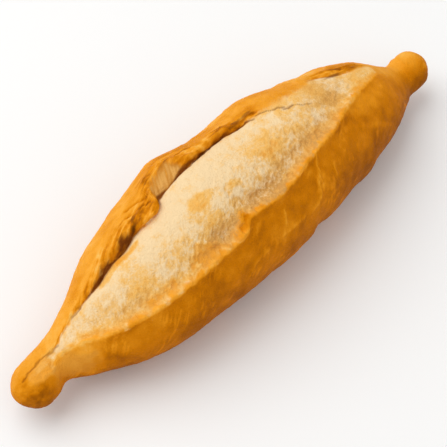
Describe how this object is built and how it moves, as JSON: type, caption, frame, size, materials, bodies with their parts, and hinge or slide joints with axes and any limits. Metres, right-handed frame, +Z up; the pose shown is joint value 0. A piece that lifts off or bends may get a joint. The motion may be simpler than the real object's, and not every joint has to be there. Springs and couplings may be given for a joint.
{
  "type": "bread roll",
  "caption": "Long plump crusty bread roll with a pinched knob at each end and one lengthwise slash along its top, resting on a flat baked base.",
  "frame": {"origin": "middle of the flat underside, under the middle of the roll's bounding box", "axes": "+X along the roll towards its smaller knob, +Y towards the back edge of the slash, +Z up from the table"},
  "size_m": [0.19, 0.0522, 0.0436],
  "materials": {
    "crust": "matt baked crust, golden above and browner below, with a pale floured slash"
  },
  "bodies": {
    "root": {"bread_roll": "crust"}
  },
  "joints": []
}
